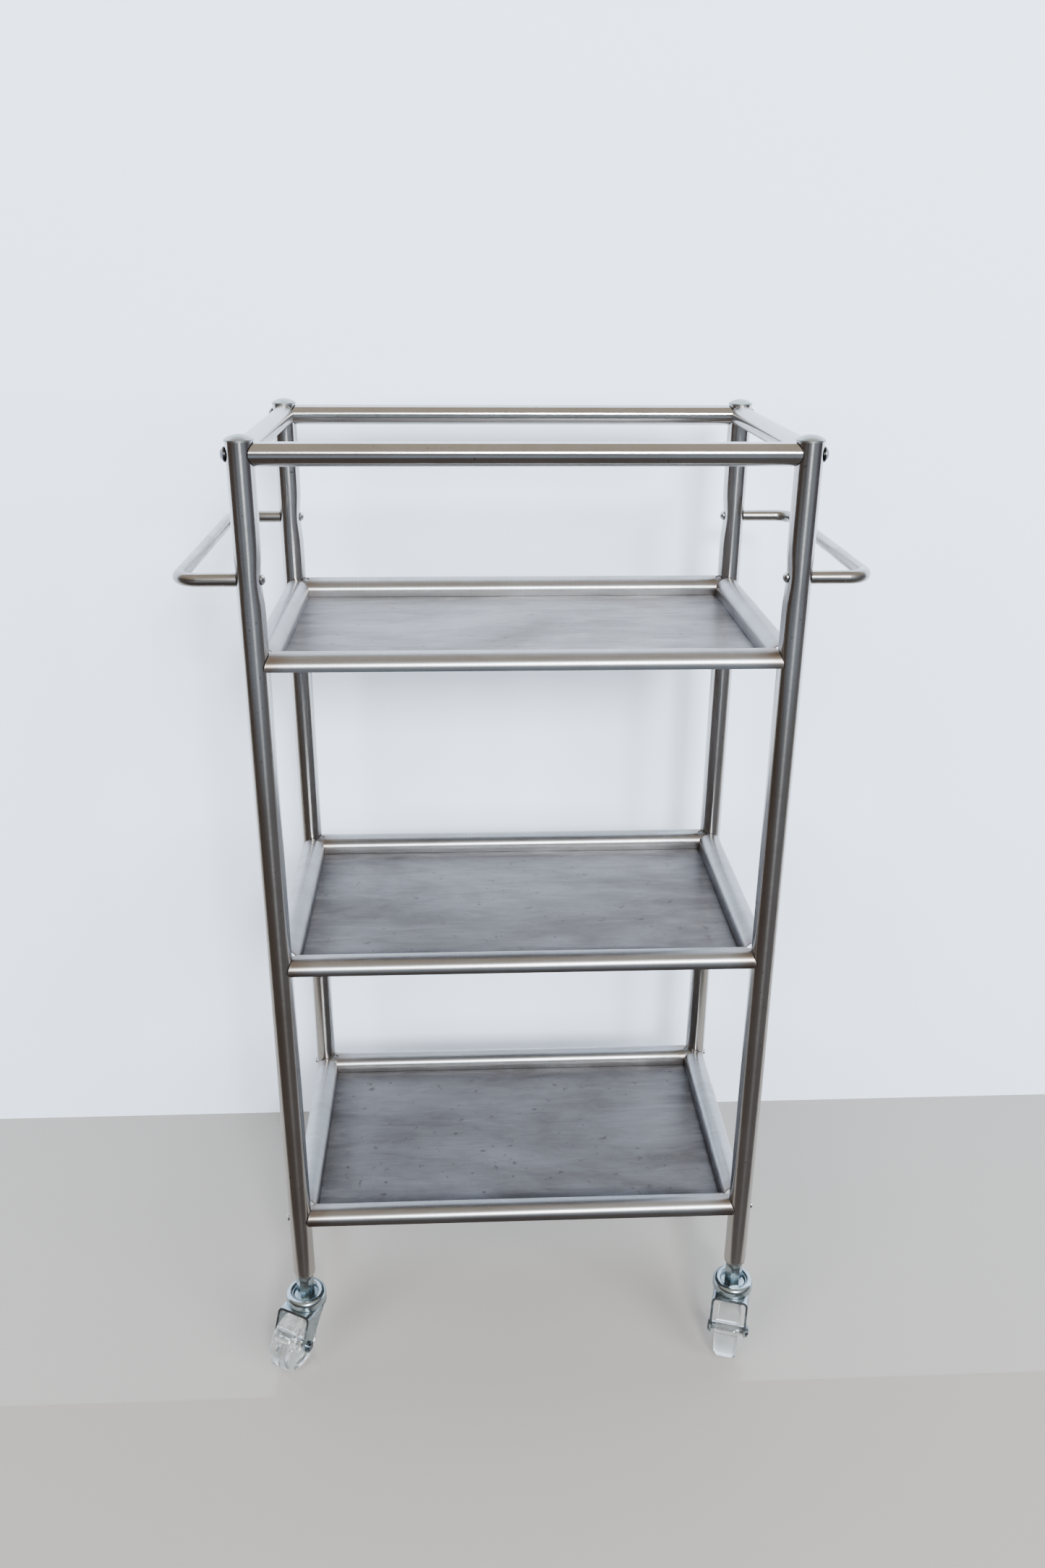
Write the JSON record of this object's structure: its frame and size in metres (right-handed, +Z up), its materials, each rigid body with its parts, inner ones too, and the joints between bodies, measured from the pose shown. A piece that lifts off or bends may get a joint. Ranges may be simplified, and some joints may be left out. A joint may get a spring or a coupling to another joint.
{
  "type": "instrument cart",
  "caption": "Narrow stainless instrument cart: tubular posts, rolled-edge trays, an open top rail, rod handles and clear swivel casters.",
  "frame": {"origin": "centre of the cart's footprint, on the floor", "axes": "+X to the right along the trays' long side, -Y to the front, +Z up from the floor"},
  "size_m": [0.4894, 0.3219, 0.7939],
  "materials": {
    "post": "satin polished stainless tube",
    "rail": "satin polished stainless tube",
    "cap": "polished stainless cap",
    "screw": "plated screw",
    "tray": "brushed stainless sheet, cloudy with use",
    "insert": "plain turned steel",
    "zinc": "bright zinc plate",
    "ball": "bearing steel",
    "wheel": "clear moulded plastic",
    "bush": "turned steel"
  },
  "bodies": {
    "frame": {"post_front_left": "post", "post_cap_front_left": "cap", "post_front_right": "post", "post_cap_front_right": "cap", "post_back_left": "post", "post_cap_back_left": "cap", "post_back_right": "post", "post_cap_back_right": "cap", "rail_front": "rail", "rail_back": "rail", "rail_left": "rail", "rail_right": "rail", "rail_inserts": "insert", "rail_bolts": "screw", "handle_left": "rail", "handle_right": "rail", "handle_screws": "screw", "tray_top": "tray", "rim_plugs_top": "insert", "tray_middle": "tray", "rim_plugs_middle": "insert", "tray_bottom": "tray", "rim_plugs_bottom": "insert", "tray_screws": "screw", "caster_socket_front_left": "zinc", "caster_stem_front_left": "zinc", "caster_head_front_left": "zinc", "caster_balls_front_left": "ball", "caster_socket_front_right": "zinc", "caster_stem_front_right": "zinc", "caster_head_front_right": "zinc", "caster_balls_front_right": "ball", "caster_socket_back_left": "zinc", "caster_stem_back_left": "zinc", "caster_head_back_left": "zinc", "caster_balls_back_left": "ball", "caster_socket_back_right": "zinc", "caster_stem_back_right": "zinc", "caster_head_back_right": "zinc", "caster_balls_back_right": "ball"},
    "swivel_front_left": {"caster_fork_front_left": "zinc", "caster_axle_front_left": "zinc", "caster_nut_front_left": "zinc"},
    "wheel_front_left": {"caster_wheel_front_left": "wheel", "caster_bush_front_left": "bush"},
    "swivel_front_right": {"caster_fork_front_right": "zinc", "caster_axle_front_right": "zinc", "caster_nut_front_right": "zinc"},
    "wheel_front_right": {"caster_wheel_front_right": "wheel", "caster_bush_front_right": "bush"},
    "swivel_back_left": {"caster_fork_back_left": "zinc", "caster_axle_back_left": "zinc", "caster_nut_back_left": "zinc"},
    "wheel_back_left": {"caster_wheel_back_left": "wheel", "caster_bush_back_left": "bush"},
    "swivel_back_right": {"caster_fork_back_right": "zinc", "caster_axle_back_right": "zinc", "caster_nut_back_right": "zinc"},
    "wheel_back_right": {"caster_wheel_back_right": "wheel", "caster_bush_back_right": "bush"}
  },
  "joints": [
    {"name": "swivel_front_left", "type": "hinge", "parent": "frame", "child": "swivel_front_left", "pos_m": [-0.19, -0.114, 0.05], "axis": [0, 0, 1], "continuous": true},
    {"name": "wheel_front_left", "type": "hinge", "parent": "swivel_front_left", "child": "wheel_front_left", "pos_m": [-0.2008, -0.13431, 0.024], "axis": [0.8829, -0.4695, 0], "continuous": true},
    {"name": "swivel_front_right", "type": "hinge", "parent": "frame", "child": "swivel_front_right", "pos_m": [0.19, -0.114, 0.05], "axis": [0, 0, 1], "continuous": true},
    {"name": "wheel_front_right", "type": "hinge", "parent": "swivel_front_right", "child": "wheel_front_right", "pos_m": [0.18328, -0.136, 0.024], "axis": [0.9563, -0.2924, 0], "continuous": true},
    {"name": "swivel_back_left", "type": "hinge", "parent": "frame", "child": "swivel_back_left", "pos_m": [-0.19, 0.114, 0.05], "axis": [0, 0, 1], "continuous": true},
    {"name": "wheel_back_left", "type": "hinge", "parent": "swivel_back_left", "child": "wheel_back_left", "pos_m": [-0.18444, 0.13632, 0.024], "axis": [-0.9703, 0.2419, 0], "continuous": true},
    {"name": "swivel_back_right", "type": "hinge", "parent": "frame", "child": "swivel_back_right", "pos_m": [0.19, 0.114, 0.05], "axis": [0, 0, 1], "continuous": true},
    {"name": "wheel_back_right", "type": "hinge", "parent": "swivel_back_right", "child": "wheel_back_right", "pos_m": [0.19935, 0.13501, 0.024], "axis": [-0.9135, 0.4067, 0], "continuous": true}
  ]
}
